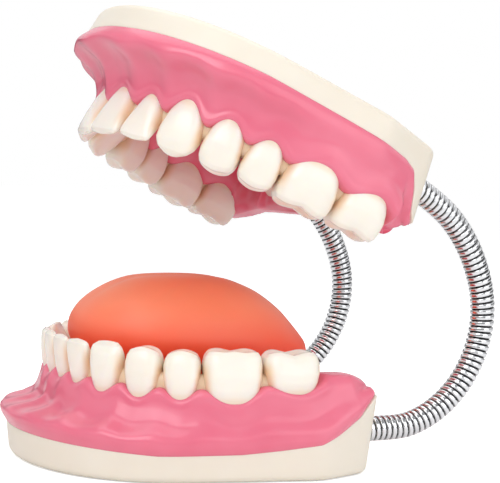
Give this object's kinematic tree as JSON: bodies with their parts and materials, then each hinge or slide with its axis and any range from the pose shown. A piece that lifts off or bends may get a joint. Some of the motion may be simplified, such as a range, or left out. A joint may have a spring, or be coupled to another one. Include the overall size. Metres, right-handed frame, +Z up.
{
  "type": "typodont",
  "caption": "Oversize teaching model of a mouth: two hinged jaws with separate teeth, gums and a tongue, held open by two bent metal goosenecks.",
  "frame": {"origin": "middle of the lower jaw's flat foot, on the plane it stands on", "axes": "+Z up, away from the foot; the front teeth face -Y and the goosenecks stand behind, at +Y; +X is the left side of the mouth"},
  "size_m": [0.127, 0.1541, 0.1491],
  "materials": {
    "ivory_shell": "smooth satin moulded vinyl",
    "ivory_plate": "satin moulded plastic",
    "pink_gum": "glossy moulded vinyl",
    "ivory_teeth": "glossy moulded resin",
    "orange_tongue": "smooth soft vinyl",
    "chrome_hose": "polished wound strip",
    "steel_screws": "zinc plated"
  },
  "bodies": {
    "lower_jaw": {"lower_base": "ivory_shell", "lower_base_plate": "ivory_plate", "lower_gum": "pink_gum", "lower_tooth_carrier": "ivory_teeth", "lower_plate_screws": "steel_screws", "lower_clamp_screws": "steel_screws", "lower_left_central_incisor": "ivory_teeth", "lower_right_central_incisor": "ivory_teeth", "lower_left_lateral_incisor": "ivory_teeth", "lower_right_lateral_incisor": "ivory_teeth", "lower_left_canine": "ivory_teeth", "lower_right_canine": "ivory_teeth", "lower_left_first_premolar": "ivory_teeth", "lower_right_first_premolar": "ivory_teeth", "lower_left_second_premolar": "ivory_teeth", "lower_right_second_premolar": "ivory_teeth", "lower_left_first_molar": "ivory_teeth", "lower_right_first_molar": "ivory_teeth", "lower_left_second_molar": "ivory_teeth", "lower_right_second_molar": "ivory_teeth", "lower_left_end_fitting": "chrome_hose", "lower_right_end_fitting": "chrome_hose", "tongue": "orange_tongue"},
    "upper_jaw": {"upper_base": "ivory_shell", "upper_base_plate": "ivory_plate", "upper_gum": "pink_gum", "upper_tooth_carrier": "ivory_teeth", "upper_plate_screws": "steel_screws", "upper_clamp_screws": "steel_screws", "upper_left_central_incisor": "ivory_teeth", "upper_right_central_incisor": "ivory_teeth", "upper_left_lateral_incisor": "ivory_teeth", "upper_right_lateral_incisor": "ivory_teeth", "upper_left_canine": "ivory_teeth", "upper_right_canine": "ivory_teeth", "upper_left_first_premolar": "ivory_teeth", "upper_right_first_premolar": "ivory_teeth", "upper_left_second_premolar": "ivory_teeth", "upper_right_second_premolar": "ivory_teeth", "upper_left_first_molar": "ivory_teeth", "upper_right_first_molar": "ivory_teeth", "upper_left_second_molar": "ivory_teeth", "upper_right_second_molar": "ivory_teeth", "upper_left_end_fitting": "chrome_hose", "upper_right_end_fitting": "chrome_hose"},
    "gooseneck_1": {"left_gooseneck_link_1": "chrome_hose", "right_gooseneck_link_1": "chrome_hose", "left_gooseneck_link_2": "chrome_hose", "right_gooseneck_link_2": "chrome_hose", "left_gooseneck_link_3": "chrome_hose", "right_gooseneck_link_3": "chrome_hose"},
    "gooseneck_2": {"left_gooseneck_link_4": "chrome_hose", "right_gooseneck_link_4": "chrome_hose", "left_gooseneck_link_5": "chrome_hose", "right_gooseneck_link_5": "chrome_hose"},
    "gooseneck_3": {"left_gooseneck_link_6": "chrome_hose", "right_gooseneck_link_6": "chrome_hose", "left_gooseneck_link_7": "chrome_hose", "right_gooseneck_link_7": "chrome_hose"}
  },
  "joints": [
    {"name": "neck_bend_1", "type": "hinge", "parent": "lower_jaw", "child": "gooseneck_1", "pos_m": [0, 0.05048, 0.013], "axis": [1, 0, 0], "range_deg": [-5.93, 5.93]},
    {"name": "neck_bend_2", "type": "hinge", "parent": "gooseneck_1", "child": "gooseneck_2", "pos_m": [0, 0.09136, 0.03561], "axis": [1, 0, 0], "range_deg": [-23.09, 23.09]},
    {"name": "neck_bend_3", "type": "hinge", "parent": "gooseneck_2", "child": "gooseneck_3", "pos_m": [0, 0.09004, 0.06806], "axis": [1, 0, 0], "range_deg": [-15.13, 15.13]},
    {"name": "neck_bend_4", "type": "hinge", "parent": "gooseneck_3", "child": "upper_jaw", "pos_m": [0, 0.0671, 0.09148], "axis": [1, 0, 0], "range_deg": [-7.38, 7.38]}
  ],
  "couplings": [
    {"joint": "neck_bend_1", "follows": "neck_bend_2", "ratio": -0.2439},
    {"joint": "neck_bend_3", "follows": "neck_bend_2", "ratio": 0.6423},
    {"joint": "neck_bend_4", "follows": "neck_bend_2", "ratio": -0.3067}
  ]
}
